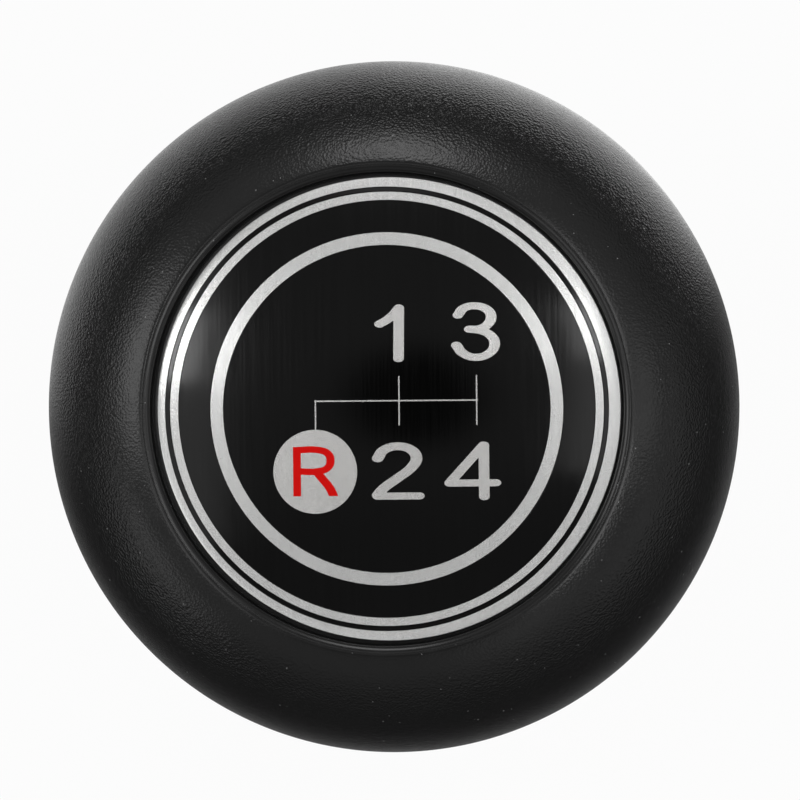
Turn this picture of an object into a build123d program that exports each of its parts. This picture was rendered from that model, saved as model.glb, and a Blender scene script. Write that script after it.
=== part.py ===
from build123d import *
import os
from math import acos, asin, atan2, degrees, hypot, sin, sqrt

# Gear shift knob for a four-speed lever: a pear-shaped grip in moulded plastic, a domed aluminium
# shift plate bonded into the seat in its crown, and a knurled brass insert moulded into its foot.
# The knob stands on its foot at Z = 0, with its axis on Z and the top of the shift pattern at +Y.

# Grip: a ball on a tapered neck, flattened above its shoulder by a crown of smaller radius
grip_diameter = 45.0         # of the ball
shoulder_height = 39.0       # of the ball's centre above the foot
foot_diameter = 23.0         # narrowest, so that the grip draws from a mould split at the shoulder
foot_chamfer = 0.8
crown_round = 10.4
lip_width = 0.75             # smooth edge around the seat, seen from above
lip_drop = 0.4               # of that edge towards the seat

# Shift plate and its seat
plate_diameter = 30.0
plate_thickness = 0.8
plate_rise = 0.6             # from the rim of the face to its centre
punch_offset = 0.14          # along X: the plate's rim is punched a little off its pattern
seat_clearance = 0.25        # between a centred rim and the wall of the seat
rim_below_lip = 0.35         # of the plate's rim below the top of the lip
film_thickness = 0.25
film_setback = 0.6           # of the film's edge from the plate's edge

# Bare metal that stands out of the black field, from the rim inwards
relief = 0.05
edge_band = 0.62
edge_groove = 0.34
middle_band = 0.52
wide_groove = 2.1
inner_band = 0.81

# Insert for the lever's metric thread
thread_diameter = 8.0
thread_pitch = 1.25
minor_share = 1.0825         # depth of an internal metric thread, across the diameter, in pitches
thread_depth = 18.0          # the hole is blind, so that no plastic gets into it
insert_diameter = 12.0
insert_setback = 0.5         # of the insert's open end from the foot
anchor_overhang = 1.2        # of the insert's head outside the knurl: it can't be pulled out
anchor_thickness = 2.0       # of that head, which closes the hole at its inner end
knurl_count = 18
knurl_depth = 0.4
mouth_chamfer = 0.7

grip_radius = grip_diameter / 2
foot_radius = foot_diameter / 2
plate_radius = plate_diameter / 2
seat_radius = plate_radius + seat_clearance
insert_radius = insert_diameter / 2
anchor_radius = insert_radius + anchor_overhang
bore_radius = (thread_diameter - minor_share * thread_pitch) / 2

# The neck is tangent to the ball and meets the foot at the foot's own radius.
neck_slope = asin(grip_radius / hypot(shoulder_height, foot_radius)) - atan2(foot_radius, shoulder_height)

# The crown leaves the shoulder upright and ends at the lip.
lip_radius = seat_radius + lip_width
crown_turn = acos(1 - (grip_radius - lip_radius) / crown_round)
lip_height = shoulder_height + crown_round * sin(crown_turn)
wall_top = lip_height - lip_drop

# The seat's floor, the film and the plate are shells about one centre, so they lie on each other
# without a gap.
face_dome = (plate_radius**2 + plate_rise**2) / (2 * plate_rise)
field_dome = face_dome - relief
back_dome = face_dome - plate_thickness
floor_dome = back_dome - film_thickness
rim_height = lip_height - rim_below_lip
dome_centre = rim_height + plate_rise - face_dome
dome_reach = face_dome + plate_thickness


def domed_disc(radius, offset, low_dome, high_dome):
    """Round disc, this far off the axis along X, between two shells about the dome's centre."""
    with BuildPart() as disc:
        with BuildSketch(Plane.XY.offset(dome_centre)):
            with Locations((offset, 0)):
                Circle(radius)
        extrude(amount=dome_reach)
        with Locations((0, 0, dome_centre)):
            Sphere(high_dome, rotation=(90, 0, 0), mode=Mode.INTERSECT)
            Sphere(low_dome, rotation=(90, 0, 0), mode=Mode.SUBTRACT)
    return disc.part


# Insert as it is moulded in: a knurled barrel, then the head that anchors it
groove_side = knurl_depth * sqrt(2)
with BuildPart() as insert_blank:
    with BuildSketch(Plane.XY.offset(insert_setback)):
        Circle(insert_radius)
        with PolarLocations(insert_radius, knurl_count):
            Rectangle(groove_side, groove_side, rotation=45, mode=Mode.SUBTRACT)
    extrude(amount=thread_depth)
    with BuildSketch(Plane.XY.offset(insert_setback + thread_depth)):
        Circle(anchor_radius)
    extrude(amount=anchor_thickness)

with BuildPart() as threaded_insert:
    add(insert_blank.part)
    with BuildSketch(Plane.XY.offset(insert_setback)):
        Circle(bore_radius)
    extrude(amount=thread_depth, mode=Mode.SUBTRACT)
    bore_wall = threaded_insert.faces().filter_by(GeomType.CYLINDER).sort_by(SortBy.RADIUS)[0]
    chamfer(bore_wall.edges().filter_by(GeomType.CIRCLE).sort_by(Axis.Z)[0], mouth_chamfer)

# Grip: one turned section, then the plate's seat in its crown and the room for the insert
with BuildPart() as seat_room:
    with BuildSketch(Plane.XY.offset(dome_centre)):
        Circle(seat_radius)
    extrude(amount=wall_top - dome_centre)
    with Locations((0, 0, dome_centre)):
        Sphere(floor_dome, rotation=(90, 0, 0), mode=Mode.SUBTRACT)

with BuildPart() as knob_body:
    with BuildSketch(Plane.XZ):
        with BuildLine():
            ball = CenterArc((0, shoulder_height), grip_radius, 0, -degrees(neck_slope))
            crown_centre = (grip_radius - crown_round, shoulder_height)
            crown = CenterArc(crown_centre, crown_round, 0, degrees(crown_turn))
            Polyline(
                crown @ 1,
                (seat_radius, wall_top),
                (0, wall_top),
                (0, 0),
                (foot_radius, 0),
                ball @ 1,
            )
        make_face()
    revolve(axis=Axis.Z)
    chamfer(knob_body.edges().filter_by(GeomType.CIRCLE).sort_by(Axis.Z)[0], foot_chamfer)
    add(seat_room.part, mode=Mode.SUBTRACT)
    add(insert_blank.part, mode=Mode.SUBTRACT)
    with BuildSketch(Plane.XY):
        Circle(insert_radius)
    extrude(amount=insert_setback, mode=Mode.SUBTRACT)

# Film: follows the floor, a little inside the plate's edge
with BuildPart() as adhesive_disc:
    add(domed_disc(plate_radius - film_setback, 0, floor_dome, back_dome))

# Plate: a domed blank up to the black field, then the bare metal that stands out of it
edge_band_inside = plate_radius - edge_band
middle_band_outside = edge_band_inside - edge_groove
middle_band_inside = middle_band_outside - middle_band
inner_band_outside = middle_band_inside - wide_groove
inner_band_inside = inner_band_outside - inner_band

with BuildPart() as raised_metal:
    add(domed_disc(plate_radius, punch_offset, field_dome, face_dome))
    with BuildSketch(Plane.XY.offset(dome_centre)):
        Circle(plate_diameter)  # reaches past the rim, which the blank trims
        Circle(edge_band_inside, mode=Mode.SUBTRACT)
        Circle(middle_band_outside)
        Circle(middle_band_inside, mode=Mode.SUBTRACT)
        Circle(inner_band_outside)
        Circle(inner_band_inside, mode=Mode.SUBTRACT)
    extrude(amount=dome_reach, mode=Mode.INTERSECT)

with BuildPart() as shift_plate:
    add(domed_disc(plate_radius, punch_offset, back_dome, field_dome))
    add(raised_metal.part)

os.makedirs("parts", exist_ok=True)

knob_body.part.label = "knob_body"
export_step(knob_body.part, "parts/knob_body.step")

shift_plate.part.label = "shift_plate"
export_step(shift_plate.part, "parts/shift_plate.step")

adhesive_disc.part.label = "adhesive_disc"
export_step(adhesive_disc.part, "parts/adhesive_disc.step")

threaded_insert.part.label = "threaded_insert"
export_step(threaded_insert.part, "parts/threaded_insert.step")
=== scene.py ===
# %% [markdown]
# A gear shift knob, seen from straight above: a grained black plastic grip with a round brushed plate
# let into its crown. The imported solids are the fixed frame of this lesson. Everything made below is in
# the same frame, in metres, and either stands for one of those solids or lies on one.

# %% Load the frame
from math import asin, atan2, cos, degrees, hypot, pi, radians, sin, sqrt, tan

import bmesh
import bpy
from mathutils import Matrix, Vector


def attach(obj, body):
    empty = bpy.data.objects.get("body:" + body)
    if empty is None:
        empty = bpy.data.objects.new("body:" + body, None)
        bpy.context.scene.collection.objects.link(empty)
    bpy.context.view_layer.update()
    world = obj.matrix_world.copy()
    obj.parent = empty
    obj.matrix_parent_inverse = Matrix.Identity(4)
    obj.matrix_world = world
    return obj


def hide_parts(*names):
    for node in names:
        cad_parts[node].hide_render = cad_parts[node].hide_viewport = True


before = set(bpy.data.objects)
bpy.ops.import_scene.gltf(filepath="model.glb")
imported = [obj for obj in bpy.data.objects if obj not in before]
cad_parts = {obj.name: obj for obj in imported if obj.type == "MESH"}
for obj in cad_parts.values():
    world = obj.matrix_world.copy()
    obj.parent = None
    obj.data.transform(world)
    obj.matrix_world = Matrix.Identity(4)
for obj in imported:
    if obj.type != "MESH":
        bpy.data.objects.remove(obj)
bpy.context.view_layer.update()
scene = bpy.context.scene
scene.view_settings.view_transform = "Standard"

# %% [markdown]
# The knob is round, so its sizes are radii and heights in millimetres, as a turner would note them.
# A mesh is drawn in millimetres and scaled to metres once, when it is finished. The plate's face is
# part of a large ball, whose centre lies on the axis far below the knob.

# %% Sizes of the knob
MM = 0.001

grip_radius = 22.5
shoulder_height = 39.0
foot_radius = 11.5
foot_chamfer = 0.8
crown_round = 10.4
seat_radius = 15.25
lip_round = 0.6

plate_radius = 15.0
rim_height = 48.291
plate_rise = 0.6
plate_thickness = 0.8
film_thickness = 0.25
relief = 0.05
punch_offset = 0.14

face_ball = (plate_radius**2 + plate_rise**2) / (2 * plate_rise)
field_ball = face_ball - relief
back_ball = face_ball - plate_thickness
floor_ball = back_ball - film_thickness
ball_centre = rim_height + plate_rise - face_ball


def on_ball(radius, ball):
    """Height of a ball's surface at this distance from the axis."""
    return ball_centre + sqrt(ball**2 - radius**2)


print("top of the plate:", round(on_ball(0, face_ball), 3), "mm")

# %% [markdown]
# A turned form needs half of its section only. Four helpers draw that half like a pen on a template:
# they put the tip down, pull a straight run, and swing an arc about any point or about the plate's far
# centre. Spinning one vertex about a point draws an arc with even steps, so no list of points is
# written out. Another helper spins the whole template about the axis and merges the copies at the seam
# and at the poles. The last one makes an object of the mesh.

# %% Pen and lathe
near_enough = 0.0005
crease_angle = radians(30)


def pen(bm, radius, height):
    return bm.verts.new((radius, 0, height))


def run_to(bm, tip, radius, height):
    made = bmesh.ops.extrude_vert_indiv(bm, verts=[tip])
    made["verts"][0].co = (radius, 0, height)
    return made["verts"][0]


def swing(bm, tip, centre, angle, steps):
    """Arc about a point of the section, in degrees, positive from the radius towards the height."""
    made = bmesh.ops.spin(
        bm, geom=[tip], cent=(centre[0], 0, centre[1]), axis=(0, -1, 0), angle=radians(angle), steps=steps
    )
    return next(g for g in made["geom_last"] if isinstance(g, bmesh.types.BMVert))


def swing_on_ball(bm, tip, ball, radius, steps):
    """Arc on a ball about the plate's far centre, out or in to this radius."""
    turn = degrees(atan2(tip.co.x, tip.co.z - ball_centre) - asin(radius / ball))
    return swing(bm, tip, (0, ball_centre), turn, steps)


def lathe(bm, steps):
    bmesh.ops.spin(
        bm,
        geom=bm.verts[:] + bm.edges[:],
        cent=(0, 0, 0),
        axis=(0, 0, 1),
        angle=2 * pi,
        steps=steps,
        use_merge=True,
    )
    bmesh.ops.remove_doubles(bm, verts=bm.verts, dist=near_enough)
    bmesh.ops.recalc_face_normals(bm, faces=bm.faces)


def finished(bm, name):
    """Scales a mesh to metres and gives it an object at the origin, smooth except at its creases."""
    bmesh.ops.scale(bm, vec=(MM, MM, MM), verts=bm.verts)
    mesh = bpy.data.meshes.new(name)
    bm.to_mesh(mesh)
    bm.free()
    mesh.shade_smooth()
    mesh.set_sharp_from_angle(angle=crease_angle)
    piece = bpy.data.objects.new(name, mesh)
    scene.collection.objects.link(piece)
    mesh.calc_loop_triangles()
    print(name, "has", len(mesh.loop_triangles), "triangles")
    return piece


print("creases are sharp from", round(degrees(crease_angle)), "degrees")

# %% [markdown]
# The camera comes first, because every later choice is judged through it. The photograph was taken
# from almost straight above with a long lens. The shoulder lies lower than the plate and shows a
# little to the right of it and above it, so the camera leans towards +X and less towards +Y. The shift
# pattern is turned half a degree, which is the camera's roll.

# %% Camera
FRAME_PX = 800
PATTERN_PX = (386.7, 408.9)
PX_PER_MM = 15.467
SENSOR_MM = 36.0
camera_distance = 1350.0
camera_lean = (radians(2.8), radians(0.8))
camera_roll = radians(0.5)

to_camera = Vector((tan(camera_lean[0]), tan(camera_lean[1]), 1)).normalized()
right = Vector((0, 1, 0)).cross(to_camera).normalized()
up = to_camera.cross(right)
turned_right = right * cos(camera_roll) - up * sin(camera_roll)
turned_up = to_camera.cross(turned_right)

plate_middle = Vector((0, 0, rim_height + plate_rise / 2))
aim = (
    plate_middle
    + turned_right * (FRAME_PX / 2 - PATTERN_PX[0]) / PX_PER_MM
    + turned_up * (PATTERN_PX[1] - FRAME_PX / 2) / PX_PER_MM
)
camera_data = bpy.data.cameras.new("camera")
camera_data.sensor_width = SENSOR_MM
camera_data.lens = PX_PER_MM * camera_distance * SENSOR_MM / FRAME_PX
camera_data.clip_start = 0.01
camera_data.clip_end = 20.0
camera = bpy.data.objects.new("camera", camera_data)
basis = Matrix((turned_right, turned_up, to_camera)).transposed().to_4x4()
camera.matrix_world = Matrix.Translation((aim + to_camera * camera_distance) * MM) @ basis
scene.collection.objects.link(camera)
scene.camera = camera
print("lens:", round(camera_data.lens, 1), "mm, camera at", [round(v, 4) for v in camera.location])

# %% [markdown]
# Materials read Object coordinates, which here are the knob's own metres. One small class builds node
# trees: it adds a node, sets its sockets by name and links those that are given another node's output.
# A second class is such a tree with a principled shader. Its Mapping node turns metres into
# millimetres, so that every texture scale reads as "per millimetre".

# %% Node trees
noise_reach = (0.3, 0.7)


class Nodes:
    """A node tree, with short ways to add nodes to it."""

    def __init__(self, tree):
        self.tree = tree

    def node(self, kind, settings=None, **sockets):
        made = self.tree.nodes.new(kind)
        for key, value in (settings or {}).items():
            setattr(made, key, value)
        for key, value in sockets.items():
            self.feed(made.inputs[key.replace("_", " ")], value)
        return made

    def feed(self, socket, value):
        if isinstance(value, bpy.types.NodeSocket):
            self.tree.links.new(value, socket)
        else:
            socket.default_value = value

    def maths(self, operation, first, second=0.0, third=1.0):
        made = self.node("ShaderNodeMath", {"operation": operation})
        for socket, value in zip(made.inputs, (first, second, third)):
            self.feed(socket, value)
        return made.outputs[0]

    def ramp(self, value, low, high, to_low=0.0, to_high=1.0):
        made = self.node("ShaderNodeMapRange", {"interpolation_type": "SMOOTHSTEP"}, Value=value)
        for socket, level in zip(made.inputs[1:5], (low, high, to_low, to_high)):
            self.feed(socket, level)
        return made.outputs[0]

    def blend(self, share, first, second):
        made = self.node("ShaderNodeMix", {"data_type": "RGBA"})
        self.feed(made.inputs[0], share)
        self.feed(made.inputs[6], first)
        self.feed(made.inputs[7], second)
        return made.outputs[2]

    def noise(self, vector, scale, detail=2.0, roughness=0.5):
        sockets = {"Vector": vector, "Scale": scale, "Detail": detail, "Roughness": roughness}
        return self.node("ShaderNodeTexNoise", **sockets).outputs[0]

    def spread(self, noise, to_low=0.0, to_high=1.0):
        """Draws a noise, which keeps near its middle, out to the whole of a range."""
        return self.ramp(noise, *noise_reach, to_low, to_high)

    def length(self, vector):
        return self.node("ShaderNodeVectorMath", {"operation": "LENGTH"}, Vector=vector).outputs["Value"]


print("a noise is taken to run from", noise_reach[0], "to", noise_reach[1])

# %% Finishes


class Finish(Nodes):
    """A material and its principled shader, with the knob's millimetres ready as coordinates."""

    def __init__(self, name):
        self.material = bpy.data.materials.new(name)
        self.material.use_nodes = True
        super().__init__(self.material.node_tree)
        self.shader = self.tree.nodes["Principled BSDF"]
        place = self.node("ShaderNodeTexCoord").outputs["Object"]
        self.mm = self.node("ShaderNodeMapping", Vector=place, Scale=(1 / MM,) * 3).outputs[0]

    def stretched(self, scale):
        return self.node("ShaderNodeMapping", Vector=self.mm, Scale=scale).outputs[0]

    def set(self, **sockets):
        for key, value in sockets.items():
            self.feed(self.shader.inputs[key.replace("_", " ")], value)


def grey(level):
    return (level, level, level, 1)


print("black and white:", grey(0), grey(1))

# %% [markdown]
# The grip is black plastic from a mould with a fine leather grain. The grain is far smaller than the
# knob, so it is a bump in the material: pebbles from a Voronoi texture whose cells are a sixth of a
# millimetre wide, pulled about by noise. The lip around the seat and the edge of the foot were left
# polished in the mould, and two masks take the grain away there. Towards the lip the grain is
# shallower. Small grains of pale dust have settled on the upper side.

# %% Grained and polished parts
polished_lip = (15.95, 16.15)
lip_depth = (46.0, 45.0)
polished_foot = (0.7, 1.1)
plastic = Finish("grip_plastic")
height = plastic.node("ShaderNodeSeparateXYZ", Vector=plastic.mm).outputs["Z"]
off_axis = plastic.length(plastic.stretched((1, 1, 0)))
outside_lip = plastic.ramp(off_axis, *polished_lip)
below_lip = plastic.ramp(height, *lip_depth)
above_foot = plastic.ramp(height, *polished_foot)
grained = plastic.maths("MULTIPLY", plastic.maths("MAXIMUM", outside_lip, below_lip), above_foot)
print("grain starts", polished_lip[0], "mm from the axis and", polished_foot[0], "mm above the foot")

# %% Leather grain
wander_per_mm, wander_share = 1.6, 0.12
pebbles_per_mm, pebble_softness = 6.2, 0.3
creases_per_mm, crease_share = 8.0, 0.6
shallow_zone, shallow_share = (48.6, 46.0), 0.32
grain_depth = 0.038 * MM
wander = plastic.node("ShaderNodeTexNoise", Vector=plastic.mm, Scale=wander_per_mm, Detail=2.0)
pulled = plastic.node(
    "ShaderNodeMixRGB",
    {"blend_type": "LINEAR_LIGHT"},
    Fac=wander_share,
    Color1=plastic.mm,
    Color2=wander.outputs["Color"],
)
pebbles = plastic.node(
    "ShaderNodeTexVoronoi",
    {"feature": "SMOOTH_F1"},
    Vector=pulled.outputs[0],
    Scale=pebbles_per_mm,
    Smoothness=pebble_softness,
)
creases = plastic.noise(plastic.mm, creases_per_mm, 3.0, 0.6)
swell = plastic.maths("MULTIPLY_ADD", creases, crease_share, pebbles.outputs["Distance"])
depth = plastic.maths("MULTIPLY", grained, plastic.ramp(height, *shallow_zone, shallow_share))
grain = plastic.node("ShaderNodeBump", Strength=depth, Distance=grain_depth, Height=swell)
print("grain is", round(grain_depth / MM, 3), "mm deep")

# %% Dust and black plastic
dust_per_mm = 1.8
dust_spread, dust_cut = 0.14, 0.05
dust_zone, dust_cover = (36.0, 42.0), 0.8
dots = plastic.node("ShaderNodeTexVoronoi", {"feature": "F1"}, Vector=plastic.mm, Scale=dust_per_mm)
chance = plastic.node("ShaderNodeSeparateColor", Color=dots.outputs["Color"]).outputs[0]
dust_size = plastic.maths("MULTIPLY_ADD", chance, dust_spread, -dust_cut)
speck = plastic.maths("LESS_THAN", dots.outputs["Distance"], dust_size)
dust = plastic.maths("MULTIPLY", speck, plastic.ramp(height, *dust_zone, 0, dust_cover))

plastic_greys, dust_grey = (grey(0.007), grey(0.010)), grey(0.3)
plastic_roughness = (0.21, 0.25)
black = plastic.blend(plastic.noise(plastic.mm, 0.25), *plastic_greys)
plastic.set(
    Base_Color=plastic.blend(dust, black, dust_grey),
    Roughness=plastic.spread(plastic.noise(plastic.mm, 0.5), *plastic_roughness),
    Normal=grain.outputs[0],
)
print("grained plastic has", len(plastic.tree.nodes), "nodes")

# %% [markdown]
# The grip was moulded in one piece, so it is one turned shell: the seat's floor and wall, the rounded
# lip, the crown, the ball, the tapered neck, the foot and the room for the insert. The arcs meet
# smoothly, because each starts where the last one ends, with both centres on one line. The plastic was
# moulded round a knurled insert, so a helper draws V-grooves into a barrel, here and later in the brass,
# and the ridges of the one fill the grooves of the other. Just below the brass the wall stays round.

# %% Knurl
insert_radius, insert_setback = 6.0, 0.5
thread_depth = 18.0
anchor_radius, anchor_thickness = 7.2, 2.0
anchor_base = insert_setback + thread_depth
anchor_top = anchor_base + anchor_thickness
knurl_count, knurl_depth = 18, 0.4
knurl_pitch = 2 * pi / knurl_count
knurl_columns = knurl_count * 4
seal_height = 0.02


def cut_knurl(bm):
    """Draws the insert's barrel in, or the wall around it, to straight-sided grooves."""
    bottom = insert_radius - knurl_depth
    half = knurl_pitch / 4
    for vert in bm.verts:
        on_barrel = abs(hypot(vert.co.x, vert.co.y) - insert_radius) < near_enough
        from_groove = abs((atan2(vert.co.y, vert.co.x) + knurl_pitch / 2) % knurl_pitch - knurl_pitch / 2)
        if on_barrel and vert.co.z > insert_setback - seal_height / 2 and from_groove < half:
            slope = bottom * sin(from_groove) + insert_radius * sin(half - from_groove)
            vert.co.xy *= bottom * sin(half) / slope


print("knurl has", knurl_count, "grooves,", knurl_depth, "mm deep")

# %% Grip
grip_steps = 288
floor_steps, lip_steps, crown_steps, ball_steps = 8, 12, 56, 14
crown_middle = (grip_radius - crown_round, shoulder_height)
lip_x = seat_radius + lip_round - crown_middle[0]
lip_z = sqrt((crown_round - lip_round) ** 2 - lip_x**2)
lip_turn = degrees(atan2(lip_z, lip_x))
lip_middle = (seat_radius + lip_round, shoulder_height + lip_z)
neck_slope = asin(grip_radius / hypot(shoulder_height, foot_radius)) - atan2(foot_radius, shoulder_height)

bm = bmesh.new()
tip = pen(bm, 0, on_ball(0, floor_ball))
tip = swing_on_ball(bm, tip, floor_ball, seat_radius, floor_steps)
tip = run_to(bm, tip, seat_radius, lip_middle[1])
tip = swing(bm, tip, lip_middle, lip_turn - 180, lip_steps)
tip = swing(bm, tip, crown_middle, -lip_turn, crown_steps)
tip = swing(bm, tip, (0, shoulder_height), -degrees(neck_slope), ball_steps)
tip = run_to(bm, tip, foot_radius + foot_chamfer * sin(neck_slope), foot_chamfer * cos(neck_slope))
tip = run_to(bm, tip, foot_radius - foot_chamfer, 0)
tip = run_to(bm, tip, insert_radius, 0)
tip = run_to(bm, tip, insert_radius, insert_setback - seal_height)
tip = run_to(bm, tip, insert_radius, insert_setback)
tip = run_to(bm, tip, insert_radius, anchor_base)
tip = run_to(bm, tip, anchor_radius, anchor_base)
tip = run_to(bm, tip, anchor_radius, anchor_top)
tip = run_to(bm, tip, 0, anchor_top)
lathe(bm, grip_steps)
cut_knurl(bm)
grip = finished(bm, "grip")
grip.data.materials.append(plastic.material)
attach(grip, "root")
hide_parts("knob_body")

# %% [markdown]
# The plate was brushed along Y, from the bottom of the pattern to its top. Fine scratches in one
# direction spread a reflection across them, so the shader's highlight is long along X, its tangent.
# Noise that is squeezed along X and drawn out along Y gives the streaks that the eye can follow. A
# finer noise makes about two fifths of the scratches almost polished. They are too narrow to be seen
# one by one, but together they mirror the lamps clearly, while the rest spreads the light softly.

# %% Brushed aluminium
lines_per_mm = (11, 0.16, 0.16)
bands_per_mm = (1.1, 0.03, 0.03)
scratches_per_mm = (140, 60, 60)
line_share = 0.7
brush_strength, brush_depth = 0.35, 0.004 * MM
polished_share = (0.45, 0.52)
polished, roughened = 0.16, 0.40
highlight_stretch = 0.6


def brushed(name, colour, streak):
    """Aluminium of this colour, in streaks that are darker and lighter than it by a share."""
    finish = Finish(name)
    lines = finish.noise(finish.stretched(lines_per_mm), 1.0, 2.0, 0.7)
    bands = finish.noise(finish.stretched(bands_per_mm), 1.0, 3.0, 0.6)
    scratches = finish.noise(finish.stretched(scratches_per_mm), 1.0, 0.0)
    both = finish.maths("MULTIPLY_ADD", lines, line_share, finish.maths("MULTIPLY", bands, 1 - line_share))
    dark = (*(v * (1 - streak) for v in colour), 1)
    light = (*(min(1, v * (1 + streak)) for v in colour), 1)
    bump = finish.node("ShaderNodeBump", Strength=brush_strength, Distance=brush_depth, Height=lines)
    finish.set(
        Base_Color=finish.blend(finish.spread(both), dark, light),
        Metallic=1.0,
        Roughness=finish.ramp(scratches, *polished_share, polished, roughened),
        Anisotropic=highlight_stretch,
        Tangent=finish.node("ShaderNodeCombineXYZ", X=1.0).outputs[0],
        Normal=bump.outputs[0],
    )
    return finish


plate_colour, plate_streak = (0.84, 0.84, 0.83), 0.06
aluminium = brushed("brushed_aluminium", plate_colour, plate_streak)
print("brushed aluminium has", len(aluminium.tree.nodes), "nodes")

# %% [markdown]
# Black enamel fills the etched field between the bare bands. It is thin and glossy, and the brushing
# under it still shows as faint upright streaks where it catches a light. So it has the same long
# highlight as the metal, and a very shallow bump from a drawn-out noise.

# %% Black enamel
enamel_lines_per_mm = (7, 0.12, 0.12)
enamel_strength, enamel_depth = 0.14, 0.002 * MM
enamel_greys = (grey(0.0012), grey(0.0018))
glossier_reach, enamel_roughness = (0.35, 0.65), (0.06, 0.085)

enamel = Finish("black_enamel")
streaks = enamel.noise(enamel.stretched(enamel_lines_per_mm), 1.0, 4.0, 0.65)
bump = enamel.node("ShaderNodeBump", Strength=enamel_strength, Distance=enamel_depth, Height=streaks)
enamel.set(
    Base_Color=enamel.blend(enamel.spread(streaks), *enamel_greys),
    Roughness=enamel.ramp(streaks, *glossier_reach, *enamel_roughness),
    Anisotropic=highlight_stretch,
    Tangent=enamel.node("ShaderNodeCombineXYZ", X=1.0).outputs[0],
    Normal=bump.outputs[0],
)
print("black enamel has", len(enamel.tree.nodes), "nodes")

# %% [markdown]
# The plate is turned from one template too. Its bare bands stand a twentieth of a millimetre out of
# the enamelled field. Enamel creeps up a band's side as it dries, so the sides are drawn as narrow
# slopes: they mirror the dark room and give each band a fine dark edge. The blank was punched a little
# off the pattern, so after the spin the rim alone is moved sideways: the outer band is wider on the
# right than on the left. Faces in the field get the enamel as the mesh's second material.

# %% Shift plate
inner_band = (10.61, 11.42)
middle_band = (13.52, 14.04)
edge_band_inside = 14.38
plate_edge = 0.03
enamel_creep = 0.06
plate_steps = 256
field_steps, band_steps, back_steps = 18, 3, 10

bm = bmesh.new()
tip = pen(bm, 0, on_ball(0, field_ball))
tip = swing_on_ball(bm, tip, field_ball, inner_band[0] - enamel_creep, field_steps)
for band, groove_end in ((inner_band, middle_band[0]), (middle_band, edge_band_inside)):
    tip = run_to(bm, tip, band[0], on_ball(band[0], face_ball))
    tip = swing_on_ball(bm, tip, face_ball, band[1], band_steps)
    tip = run_to(bm, tip, band[1] + enamel_creep, on_ball(band[1] + enamel_creep, field_ball))
    tip = swing_on_ball(bm, tip, field_ball, groove_end - enamel_creep, band_steps)
tip = run_to(bm, tip, edge_band_inside, on_ball(edge_band_inside, face_ball))
tip = swing_on_ball(bm, tip, face_ball, plate_radius - plate_edge, band_steps)
tip = run_to(bm, tip, plate_radius, rim_height - plate_edge)
tip = run_to(bm, tip, plate_radius, on_ball(plate_radius, back_ball))
tip = swing_on_ball(bm, tip, back_ball, 0, back_steps)
lathe(bm, plate_steps)
print("plate is spun with", len(bm.faces), "faces")

# %% Bare metal, enamel and the punched rim
rim_reach = 0.15
level_enough = 0.3


def is_bare(face):
    """Whether a face of the plate is bare metal: on a band, at the side or on the back."""
    middle = face.calc_center_median()
    away = hypot(middle.x, middle.y)
    on_ring = any(inside < away < outside for inside, outside in (inner_band, middle_band))
    return on_ring or away > edge_band_inside or face.normal.z < level_enough


for face in bm.faces:
    face.material_index = 0 if is_bare(face) else 1
rim = [v for v in bm.verts if hypot(v.co.x, v.co.y) > plate_radius - rim_reach]
bmesh.ops.translate(bm, vec=(punch_offset, 0, 0), verts=rim)
plate = finished(bm, "plate")
plate.data.materials.append(aluminium.material)
plate.data.materials.append(enamel.material)
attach(plate, "root")
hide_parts("shift_plate")

# %% [markdown]
# Gate lines and figures are bare metal in the black field, as high as the bands. Each is a stroke with
# a centre line. A Bezier curve through a few points gives that line, extruding it upwards gives a thin
# wall, and a Solidify modifier thickens the wall evenly to both sides. The end faces are then drawn out
# in narrowing steps to a half round. The figures are a round-ended type drawn wide, so a stroke is made
# narrow and stretched along X, which makes its uprights thicker than its bars, as on the plate.

# %% Centre lines
curve_steps = 10


def centre_line(points):
    """Mesh edges along a smooth curve through these points, or straight for two points."""
    curve = bpy.data.curves.new("centre_line", "CURVE")
    curve.dimensions = "2D"
    curve.resolution_u = curve_steps
    spline = curve.splines.new("BEZIER")
    spline.bezier_points.add(len(points) - 1)
    for knot, (x, y) in zip(spline.bezier_points, points):
        knot.co = (x, y, 0)
        knot.handle_left_type = knot.handle_right_type = "AUTO" if len(points) > 2 else "VECTOR"
    drawn = bpy.data.objects.new("centre_line", curve)
    scene.collection.objects.link(drawn)
    bpy.context.view_layer.update()
    mesh = bpy.data.meshes.new_from_object(drawn.evaluated_get(bpy.context.evaluated_depsgraph_get()))
    bpy.data.objects.remove(drawn)
    return mesh


print("a curve has", curve_steps, "steps from point to point")

# %% Strokes
stroke_step = 0.5
end_steps = 6


def round_end(bm, end, width):
    """Draws a stroke's end face out in steps, each narrower, to a half round."""
    outwards = end.normal.copy()
    turn = pi / 2 / end_steps
    for step in range(end_steps):
        made = bmesh.ops.extrude_face_region(bm, geom=[end])
        end = next(g for g in made["geom"] if isinstance(g, bmesh.types.BMFace))
        middle = end.calc_center_median()
        narrower = cos(turn * (step + 1)) / cos(turn * step)
        further = (sin(turn * (step + 1)) - sin(turn * step)) * width / 2
        bmesh.ops.scale(bm, vec=(narrower, narrower, 1), space=Matrix.Translation(-middle), verts=end.verts)
        bmesh.ops.translate(bm, vec=outwards * further, verts=end.verts)
    bmesh.ops.remove_doubles(bm, verts=end.verts, dist=near_enough)


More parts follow.
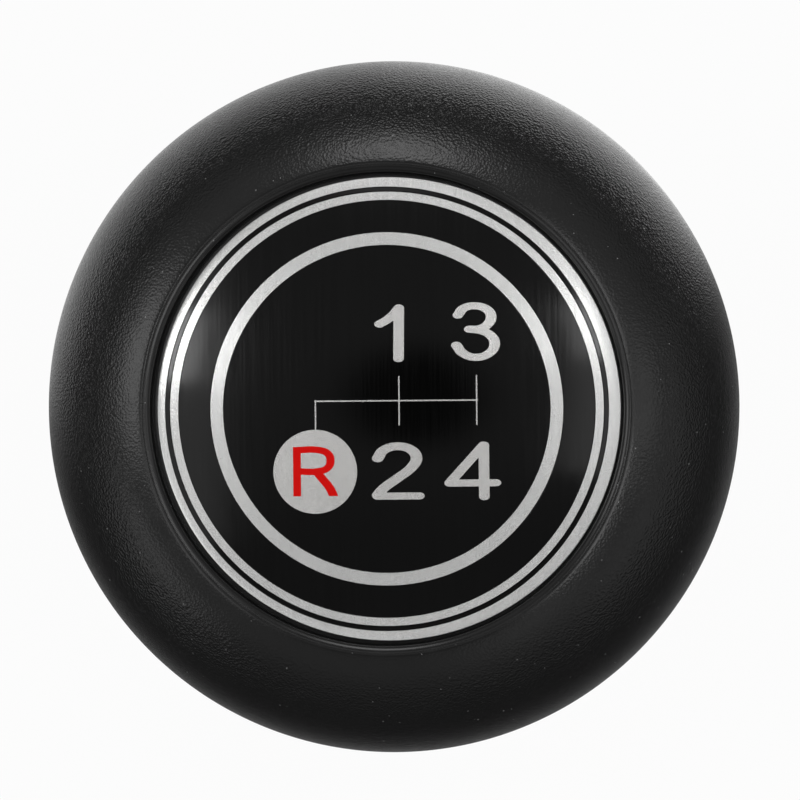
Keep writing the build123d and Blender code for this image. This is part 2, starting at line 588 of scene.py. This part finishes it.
def stroke(points, width, height, stretch=1.0, rounded=True):
    """A closed bar along the points, standing on the field at zero height."""
    line = centre_line([(x / stretch, y) for x, y in points])
    bm = bmesh.new()
    bm.from_mesh(line)
    bmesh.ops.remove_doubles(bm, verts=bm.verts, dist=near_enough)
    longest = max(edge.calc_length() for edge in bm.edges)
    bmesh.ops.subdivide_edges(bm, edges=bm.edges[:], cuts=int(longest / stroke_step))
    raised = bmesh.ops.extrude_edge_only(bm, edges=bm.edges[:])
    upper = [g for g in raised["geom"] if isinstance(g, bmesh.types.BMVert)]
    bmesh.ops.translate(bm, vec=(0, 0, height), verts=upper)
    bm.to_mesh(line)
    bm.free()
    wall = bpy.data.objects.new("wall", line)
    scene.collection.objects.link(wall)
    thick = wall.modifiers.new("thickness", "SOLIDIFY")
    thick.thickness = width
    thick.offset = 0
    bpy.context.view_layer.update()
    solid = bpy.data.meshes.new_from_object(wall.evaluated_get(bpy.context.evaluated_depsgraph_get()))
    bpy.data.objects.remove(wall)

    bm = bmesh.new()
    bm.from_mesh(solid)
    bmesh.ops.recalc_face_normals(bm, faces=bm.faces)
    if rounded:
        for x, y in (points[0], points[-1]):
            spot = Vector((x / stretch, y, height / 2))
            round_end(bm, min(bm.faces, key=lambda f: (f.calc_center_median() - spot).length), width)
    bmesh.ops.scale(bm, vec=(stretch, 1, 1), verts=bm.verts)
    bm.to_mesh(solid)
    bm.free()
    return solid


print("a stroke is cut every", stroke_step, "mm or less")

# %% Laying on the plate
pattern_offset = (0.026, 0.052)


def laid_on_plate(meshes, name):
    """Joins flat strokes and lets them down on the plate's field."""
    bm = bmesh.new()
    for mesh in meshes:
        bm.from_mesh(mesh)
    bmesh.ops.translate(bm, vec=(*pattern_offset, 0), verts=bm.verts)
    bmesh.ops.triangulate(bm, faces=[f for f in bm.faces if len(f.verts) > 4])
    for vert in bm.verts:
        vert.co.z += on_ball(hypot(vert.co.x, vert.co.y), field_ball)
    return finished(bm, name)


print("pattern lies", pattern_offset, "mm off the axis")

# %% [markdown]
# The points are millimetres from the pattern's centre. Strokes that cross are given heights that
# differ by a few thousandths of a millimetre, so that no two tops lie in one plane.

# %% Gate and figures
figure_stretch = 1.5
figure_stroke, line_stroke = 0.455, 0.085
bolder_stroke = {"two": 0.5}
figures = {
    "one": [[(0.82, 6.47), (0.78, 3.2)], [(0.82, 6.47), (0.42, 6.0), (0.0, 5.68), (-0.43, 5.44)]],
    "two": [
        [(-0.62, -3.24), (-0.23, -2.71), (0.7, -2.47), (1.57, -2.72), (1.88, -3.25)]
        + [(1.59, -3.81), (0.61, -4.56), (-0.25, -5.17), (-0.65, -5.62)],
        [(-0.65, -5.69), (2.05, -5.69)],
    ],
    "three": [
        [(4.64, 5.98), (5.04, 6.43), (5.79, 6.56), (6.5, 6.34)]
        + [(6.78, 5.86), (6.49, 5.3), (5.96, 5.07), (5.37, 5.06)],
        [(5.37, 5.06), (6.15, 4.96), (6.76, 4.63), (7.0, 4.15)]
        + [(6.66, 3.51), (5.76, 3.24), (4.95, 3.51), (4.53, 4.03)],
    ],
    "four": [
        [(6.22, -2.44), (4.02, -4.86)],
        [(4.02, -4.88), (7.01, -4.88)],
        [(6.24, -2.44), (6.25, -5.77)],
    ],
}
gate = [
    [(-4.7, 0.48), (5.89, 0.48)],
    [(0.79, 2.07), (0.79, -1.12)],
    [(5.81, 2.1), (5.81, -1.13)],
    [(-4.63, 0.55), (-4.63, -1.5)],
]
step_apart = 0.003

flat = []
for figure, runs in figures.items():
    for order, points in enumerate(runs):
        width = bolder_stroke.get(figure, figure_stroke) if order == 0 else figure_stroke
        flat.append(stroke(points, width, relief - order * step_apart, figure_stretch))
for order, points in enumerate(gate):
    flat.append(stroke(points, line_stroke, relief - order * step_apart, rounded=False))
print(len(flat), "strokes")

# %% [markdown]
# Reverse is marked by a bare disc with a red letter on it. The disc is a filled circle, inset twice
# so that it can follow the dome, and extruded to the height of the bands.

# %% Reverse disc
reverse_centre = (-4.68, -4.08)
reverse_radius = 2.715
disc_height = relief - len(gate) * step_apart
disc_segments = 96
disc_rings = (0.9, 0.9)
pattern_colour, pattern_streak = (0.84, 0.83, 0.815), 0.05

bm = bmesh.new()
bmesh.ops.create_circle(bm, cap_ends=True, segments=disc_segments, radius=reverse_radius)
lifted = bmesh.ops.extrude_face_region(bm, geom=bm.faces[:])
top = [g for g in lifted["geom"] if isinstance(g, bmesh.types.BMVert)]
bmesh.ops.translate(bm, vec=(0, 0, disc_height), verts=top)
for ring_width in disc_rings:
    lid = [f for f in bm.faces if f.normal.z > level_enough and len(f.verts) > 4]
    bmesh.ops.inset_region(bm, faces=lid, thickness=ring_width)
bmesh.ops.recalc_face_normals(bm, faces=bm.faces)
bmesh.ops.translate(bm, vec=(*reverse_centre, 0), verts=bm.verts)
reverse_disc = bpy.data.meshes.new("reverse_disc")
bm.to_mesh(reverse_disc)
bm.free()
flat.append(reverse_disc)

pattern = laid_on_plate(flat, "shift_pattern")
pattern_aluminium = brushed("pattern_aluminium", pattern_colour, pattern_streak)
pattern.data.materials.append(pattern_aluminium.material)
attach(pattern, "root")

# %% [markdown]
# The letter for reverse is red paint on the bare disc. It is printed with square ends, so its strokes
# keep their corners, and a cutting plane gives the curved leg a level foot. Each stroke has a width of
# its own. The paint is a little uneven, which a soft noise in its colour shows.

# %% Reverse letter
letter_stretch = 1.25
paint_height = 0.02
letter = [
    (0.40, [(-5.86, -2.47), (-5.86, -5.66)]),
    (
        0.42,
        [(-5.86, -2.67), (-4.5, -2.67), (-3.91, -2.86), (-3.68, -3.36)]
        + [(-3.91, -3.86), (-4.5, -4.05), (-5.86, -4.05)],
    ),
    (0.46, [(-4.66, -4.0), (-4.21, -4.55), (-3.79, -5.07), (-3.53, -5.59), (-3.38, -6.06)]),
]
letter_foot = -5.66
reds = ((0.76, 0.002, 0.001, 1), (0.88, 0.004, 0.002, 1))
red_roughness = (0.4, 0.55)
red = Finish("red_paint")
red.set(
    Base_Color=red.blend(red.noise(red.mm, 1.5), *reds),
    Roughness=red.spread(red.noise(red.mm, 4.0), *red_roughness),
    Specular_IOR_Level=0.1,
)
printed = []
for order, (width, points) in enumerate(letter):
    mark = stroke(points, width, relief + paint_height - order * step_apart, letter_stretch, False)
    bm = bmesh.new()
    bm.from_mesh(mark)
    bmesh.ops.bisect_plane(
        bm,
        geom=bm.verts[:] + bm.edges[:] + bm.faces[:],
        plane_co=(0, letter_foot, 0),
        plane_no=(0, -1, 0),
        clear_outer=True,
    )
    bmesh.ops.holes_fill(bm, edges=[edge for edge in bm.edges if edge.is_boundary])
    bmesh.ops.recalc_face_normals(bm, faces=bm.faces)
    bm.to_mesh(mark)
    bm.free()
    printed.append(mark)
reverse_letter = laid_on_plate(printed, "reverse_letter")
reverse_letter.data.materials.append(red.material)
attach(reverse_letter, "root")

# %% [markdown]
# The insert is turned brass. In the solids its thread is a plain hole, so here the barrel is bored to
# the thread's outer radius and one ridge winds up inside it. A spin that also moves along the axis at
# every step makes that ridge from a single four-sided face. The barrel is spun in four columns for
# each groove, so that the knurl comes out with sharp edges.

# %% Turned insert
thread_outer = 4.0
mouth_chamfer = 0.4

bm = bmesh.new()
tip = pen(bm, 0, anchor_base)
tip = run_to(bm, tip, thread_outer, anchor_base)
tip = run_to(bm, tip, thread_outer, insert_setback + mouth_chamfer)
tip = run_to(bm, tip, thread_outer + mouth_chamfer, insert_setback)
tip = run_to(bm, tip, insert_radius, insert_setback)
tip = run_to(bm, tip, insert_radius, anchor_base)
tip = run_to(bm, tip, anchor_radius, anchor_base)
tip = run_to(bm, tip, anchor_radius, anchor_top)
tip = run_to(bm, tip, 0, anchor_top)
lathe(bm, knurl_columns)
cut_knurl(bm)
print("insert is spun with", len(bm.faces), "faces")

# %% Thread
thread_pitch = 1.25
thread_inner = 3.3234
turn_steps, thread_turns = 48, 13
root_flat, crest_flat = thread_pitch / 8, thread_pitch / 4
overlap = 0.02
flank = (thread_pitch - root_flat - crest_flat) / 2
thread_start = insert_setback + mouth_chamfer
ridge = [
    bm.verts.new((thread_outer + overlap, 0, thread_start)),
    bm.verts.new((thread_inner, 0, thread_start + flank)),
    bm.verts.new((thread_inner, 0, thread_start + flank + crest_flat)),
    bm.verts.new((thread_outer + overlap, 0, thread_start + 2 * flank + crest_flat)),
]
end = bm.faces.new(ridge)
bmesh.ops.spin(
    bm,
    geom=[end] + end.edges[:] + ridge,
    cent=(0, 0, 0),
    axis=(0, 0, 1),
    dvec=(0, 0, thread_pitch / turn_steps),
    angle=2 * pi * thread_turns,
    steps=turn_steps * thread_turns,
)
bmesh.ops.recalc_face_normals(bm, faces=bm.faces)
insert = finished(bm, "insert")

# %% Brass
rings_per_mm = (0.4, 0.4, 9)
brasses = ((0.60, 0.40, 0.14, 1), (0.76, 0.56, 0.25, 1))
brass_roughness = (0.24, 0.36)
turning_strength, turning_depth = 0.2, 0.01 * MM
brass = Finish("insert_brass")
rings = brass.noise(brass.stretched(rings_per_mm), 1.0, 3.0)
turning = brass.node("ShaderNodeBump", Strength=turning_strength, Distance=turning_depth, Height=rings)
brass.set(
    Base_Color=brass.blend(brass.spread(rings), *brasses),
    Metallic=1.0,
    Roughness=brass.spread(rings, *brass_roughness),
    Normal=turning.outputs[0],
)
insert.data.materials.append(brass.material)
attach(insert, "root")
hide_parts("threaded_insert")
print("brass has", len(brass.tree.nodes), "nodes")

# %% [markdown]
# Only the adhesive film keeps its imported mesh. It is a plain domed disc that the plate covers. Its
# material is a pale, slightly cloudy film.

# %% Adhesive film
film_tints = ((0.78, 0.78, 0.74, 1), (0.86, 0.86, 0.83, 1))
film_roughness = (0.4, 0.55)
film = Finish("adhesive_film")
film.set(
    Base_Color=film.blend(film.noise(film.mm, 0.8), *film_tints),
    Roughness=film.spread(film.noise(film.mm, 3.0), *film_roughness),
)
film_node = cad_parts["adhesive_disc"]
film_node.data.materials.clear()
film_node.data.materials.append(film.material)
print("film keeps", len(film_node.data.polygons), "faces")

# %% [markdown]
# The floor is a plain pale sheet. The camera sees it almost white, with a small share of its own shading
# left in, so that the knob's shadow stays. It lies a tenth of a millimetre under the foot, because two
# faces in one plane would flicker.

# %% Floor
floor_size = 3.0
floor_drop = 0.1 * MM
bm = bmesh.new()
bmesh.ops.create_grid(bm, x_segments=1, y_segments=1, size=floor_size)
bmesh.ops.translate(bm, vec=(0, 0, -floor_drop), verts=bm.verts)
floor_mesh = bpy.data.meshes.new("floor")
bm.to_mesh(floor_mesh)
bm.free()
floor = bpy.data.objects.new("floor", floor_mesh)
scene.collection.objects.link(floor)
print("floor is", 2 * floor_size, "m wide")

# %% [markdown]
# Near its outline the crown mirrors the sheet, and the photograph tells how the sheet was lit. That light
# is painted into the sheet's emission. It paints a pool of light beyond the top of the pattern, brightest
# towards one o'clock, dim parts elsewhere, and a little paler band close to the foot. A Light Path node
# tells the camera's rays from mirrored ones. So the sheet is white to the camera and shows these painted
# levels in the knob.

# %% Pale sheet
lit_reach, lit_side, lit_turn = (148, 80), (-0.15, 0.6), radians(12)
glow_reach, glow_side, glow_turn = (160, 85), (0.75, 1.0), radians(-30)
glow_boost = 0.85
dim_level, lit_level = 0.034, 0.88
near_reach, near_level = (62, 36), 0.23
white_share = 0.95
sheet_grey = grey(0.85)

sheet = Finish("pale_floor")
sheet.tree.nodes.remove(sheet.shader)
far = sheet.length(sheet.mm)


def lit_part(reach, side, turn):
    """A share that falls with the distance, and away from the pattern's top turned by this angle."""
    turned = sheet.node("ShaderNodeMapping", Vector=sheet.mm, Rotation=(0, 0, -turn)).outputs[0]
    upwards = sheet.node("ShaderNodeSeparateXYZ", Vector=turned).outputs["Y"]
    facing = sheet.maths("DIVIDE", upwards, far)
    return sheet.maths("MULTIPLY", sheet.ramp(far, *reach), sheet.ramp(facing, *side))


# painted light: these emission levels paint the sheet's pool of light, its dim parts and its paler band
# near the foot
lit = sheet.ramp(lit_part(lit_reach, lit_side, lit_turn), 0, 1, dim_level, lit_level)
boost = sheet.maths("MULTIPLY_ADD", lit_part(glow_reach, glow_side, glow_turn), glow_boost)
near = sheet.ramp(far, *near_reach, 0, near_level)
in_knob = sheet.maths("MAXIMUM", sheet.maths("MULTIPLY", lit, boost), near)

path = sheet.node("ShaderNodeLightPath").outputs
looked_at = path["Is Camera Ray"]
mirrored = sheet.maths("MAXIMUM", path["Is Glossy Ray"], path["Is Transmission Ray"])
level = sheet.maths("MAXIMUM", looked_at, sheet.maths("MULTIPLY", mirrored, in_knob))
seen = sheet.maths("MULTIPLY", sheet.maths("MAXIMUM", looked_at, mirrored), white_share)
matt = sheet.node("ShaderNodeBsdfDiffuse", Color=sheet_grey)
white = sheet.node("ShaderNodeEmission", Strength=level)
mixed = sheet.node("ShaderNodeMixShader", Fac=seen)
sheet.feed(mixed.inputs[1], matt.outputs[0])
sheet.feed(mixed.inputs[2], white.outputs[0])
sheet.feed(sheet.tree.nodes["Material Output"].inputs["Surface"], mixed.outputs[0])
floor_mesh.materials.append(sheet.material)
print("pale sheet has", len(sheet.tree.nodes), "nodes")

# %% [markdown]
# The room is the world. The plate is almost a mirror, and its dark middle says that nothing bright hung
# straight above it: the camera stood there, a dark patch a little to the left. Around it is a dim
# ceiling, dimmer towards the bottom of the pattern, and further down are paler walls. Where the camera
# looks past the sheet, the room is white.

# %% Room
patch_middle, patch_size = (-0.029, -0.006), (0.052, 0.038)
patch_edge, patch_level = (0.65, 1.3), 0.01
room_rise, room_levels = (-0.13, 0.0), (0.12, 0.175)
wall_top, wall_foot, wall_level = (0.85, 0.66), (0.20, 0.45), 0.18

world = bpy.data.worlds.new("studio")
scene.world = world
world.use_nodes = True
studio = Nodes(world.node_tree)
direction = studio.node("ShaderNodeTexCoord").outputs["Generated"]
patch_scale = (1 / patch_size[0], 1 / patch_size[1], 0)
patch_shift = (-patch_middle[0] / patch_size[0], -patch_middle[1] / patch_size[1], 0)
patch_place = studio.node("ShaderNodeMapping", Vector=direction, Location=patch_shift, Scale=patch_scale)
from_patch = studio.length(patch_place.outputs[0])
along = studio.node("ShaderNodeSeparateXYZ", Vector=direction).outputs
rise = studio.ramp(along["Y"], *room_rise, *room_levels)
ceiling = studio.ramp(from_patch, *patch_edge, patch_level, rise)
walls = studio.maths("MULTIPLY", studio.ramp(along["Z"], *wall_top), studio.ramp(along["Z"], *wall_foot))
room = studio.maths("MULTIPLY_ADD", walls, wall_level, ceiling)
looked_past = studio.node("ShaderNodeLightPath").outputs["Is Camera Ray"]
studio.feed(studio.tree.nodes["Background"].inputs["Color"], studio.maths("MAXIMUM", looked_past, room))
print("room has", len(studio.tree.nodes), "nodes")

# %% [markdown]
# Soft boxes stand where the photograph's reflections say. The crown mirrors large ones at the top and
# the left of the pattern and weaker ones at the right, about halfway between the vertical and the
# horizon. Two narrow lamps nearer to the vertical make the bright spots on the bands and the enamel, and
# wide dim glows lie around them. Fills and panels light the brushed metal, and low cards and an edge
# light draw the crown's sides. Each box is given by its clock direction, its angle from the vertical in
# degrees, its distance, its width and depth in metres, and the brightness of its surface.

# %% Soft boxes
HOUR = radians(30)


def soft_box(name, clock, from_vertical, distance, size, brightness):
    data = bpy.data.lights.new(name, "AREA")
    data.shape = "RECTANGLE"
    data.size, data.size_y = size
    data.energy = brightness * pi * size[0] * size[1]
    box = bpy.data.objects.new(name, data)
    around = pi / 2 - clock * HOUR
    tilt = radians(from_vertical)
    away = Vector((sin(tilt) * cos(around), sin(tilt) * sin(around), cos(tilt)))
    across = Vector((-sin(around), cos(around), 0))
    turned = Matrix((across, away.cross(across), away)).transposed().to_4x4()
    box.matrix_world = Matrix.Translation(away * distance + Vector((0, 0, shoulder_height * MM))) @ turned
    box.visible_camera = False
    scene.collection.objects.link(box)
    print(name, "at", [round(v, 2) for v in box.location], round(data.energy, 2), "W")


boxes = {
    "top_box": (12, 54, 0.7, (0.28, 0.25), 2.8),
    "left_box": (9.3, 53, 0.7, (0.34, 0.26), 2.1),
    "right_box": (3, 53, 0.7, (0.26, 0.22), 0.7),
    "low_right_box": (5, 53, 0.7, (0.26, 0.22), 0.22),
    "left_lamp": (9.34, 16.8, 0.72, (0.042, 0.118), 6.5),
    "right_lamp": (2.25, 11.6, 0.72, (0.036, 0.118), 5.3),
    "left_glow": (9.0, 14.1, 0.72, (0.18, 0.09), 0.48),
    "right_glow": (3.2, 9.0, 0.72, (0.08, 0.08), 0.7),
    "top_glow": (12, 12.6, 0.72, (0.20, 0.08), 0.75),
    "low_glow": (6, 15, 0.72, (0.20, 0.08), 0.5),
    "upper_right_fill": (2, 22, 0.72, (0.14, 0.12), 2.85),
    "lower_right_fill": (4, 22, 0.72, (0.14, 0.12), 1.9),
    "lower_left_fill": (8, 22, 0.72, (0.14, 0.12), 0.75),
    "upper_right_panel": (2, 33, 0.72, (0.30, 0.20), 1.2),
    "lower_right_panel": (4, 33, 0.72, (0.30, 0.20), 2.45),
    "lower_left_panel": (8, 33, 0.72, (0.30, 0.20), 1.25),
    "left_card": (8, 76, 0.7, (0.34, 0.24), 0.95),
    "right_card": (4, 76, 0.7, (0.34, 0.24), 0.42),
    "right_edge": (3, 87, 0.6, (0.26, 0.10), 0.7),
}
for name, place in boxes.items():
    soft_box(name, *place)
